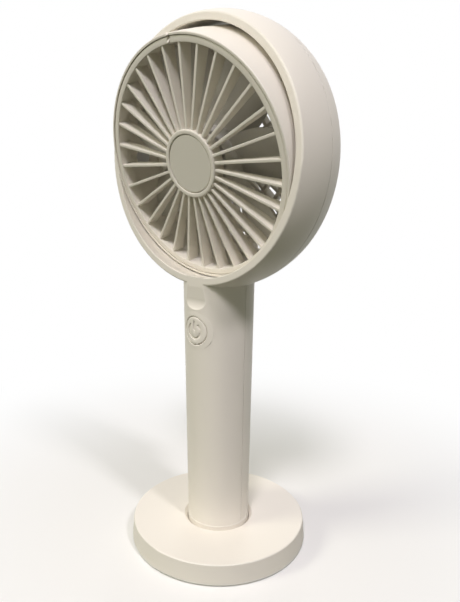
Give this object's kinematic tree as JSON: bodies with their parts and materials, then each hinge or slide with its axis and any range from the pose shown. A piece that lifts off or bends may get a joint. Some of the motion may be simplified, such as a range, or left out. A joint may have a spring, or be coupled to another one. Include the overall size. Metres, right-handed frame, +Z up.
{
  "type": "rechargeable table fan",
  "caption": "Slim hand fan with a tilting finned pod in a round ring, standing in a disc base; front push button, rear charging port, battery in the handle.",
  "frame": {"origin": "centre of the base at table height", "axes": "+Z up, the fan faces -Y, +X along the tilt axis"},
  "size_m": [0.1054, 0.0784, 0.221],
  "materials": {
    "cream_plastic": "satin, fine grain",
    "inner_plastic": "satin",
    "badge_plastic": "satin, bare",
    "black_rubber": "matt",
    "steel": "plain",
    "nickel": "bright",
    "sintered_bronze": "sintered",
    "copper": "enamelled wire",
    "board": "solder mask",
    "black_plastic": "satin",
    "cell_wrap": "shrink wrap",
    "lead_cover": "satin",
    "magnet": "bonded"
  },
  "bodies": {
    "base": {"base_shell": "cream_plastic", "base_plate": "inner_plastic", "base_feet": "black_rubber", "base_weight": "steel", "base_screws": "steel"},
    "handle": {"front_shell": "cream_plastic", "rear_shell": "cream_plastic", "shell_screws": "steel", "push_switch": "black_plastic", "control_board": "board", "charging_port": "steel", "battery_cell": "cell_wrap", "battery_tabs": "nickel", "battery_leads": "lead_cover", "ring_lead": "lead_cover"},
    "button": {"power_button": "cream_plastic", "switch_plunger": "black_plastic"},
    "pod": {"pivot_pin": "steel", "lead_pin": "steel", "friction_washers": "black_rubber", "pod_barrel": "cream_plastic", "front_grille": "cream_plastic", "hub_badge": "badge_plastic", "rear_grille": "cream_plastic", "pod_lead": "lead_cover", "driver_board": "board", "stator_core": "steel", "stator_coils": "copper", "motor_bushes": "sintered_bronze"},
    "rotor": {"motor_shaft": "steel", "magnet_ring": "magnet", "motor_yoke": "steel", "impeller": "inner_plastic"}
  },
  "joints": [
    {"name": "handle_lift", "type": "slide", "parent": "base", "child": "handle", "axis": [0, 0, 1], "range_m": [0, 0.03]},
    {"name": "power_button_press", "type": "slide", "parent": "handle", "child": "button", "axis": [0, 1, 0], "range_m": [0, 0.0005], "stiffness_N_per_m": 2400},
    {"name": "pod_tilt", "type": "hinge", "parent": "handle", "child": "pod", "pos_m": [0, -0.0026, 0.1683], "axis": [1, 0, 0], "range_deg": [-43.2, 16.8]},
    {"name": "fan_spin", "type": "hinge", "parent": "pod", "child": "rotor", "pos_m": [0, -0.0026, 0.1683], "axis": [0, -0.9736, -0.2284], "continuous": true}
  ]
}
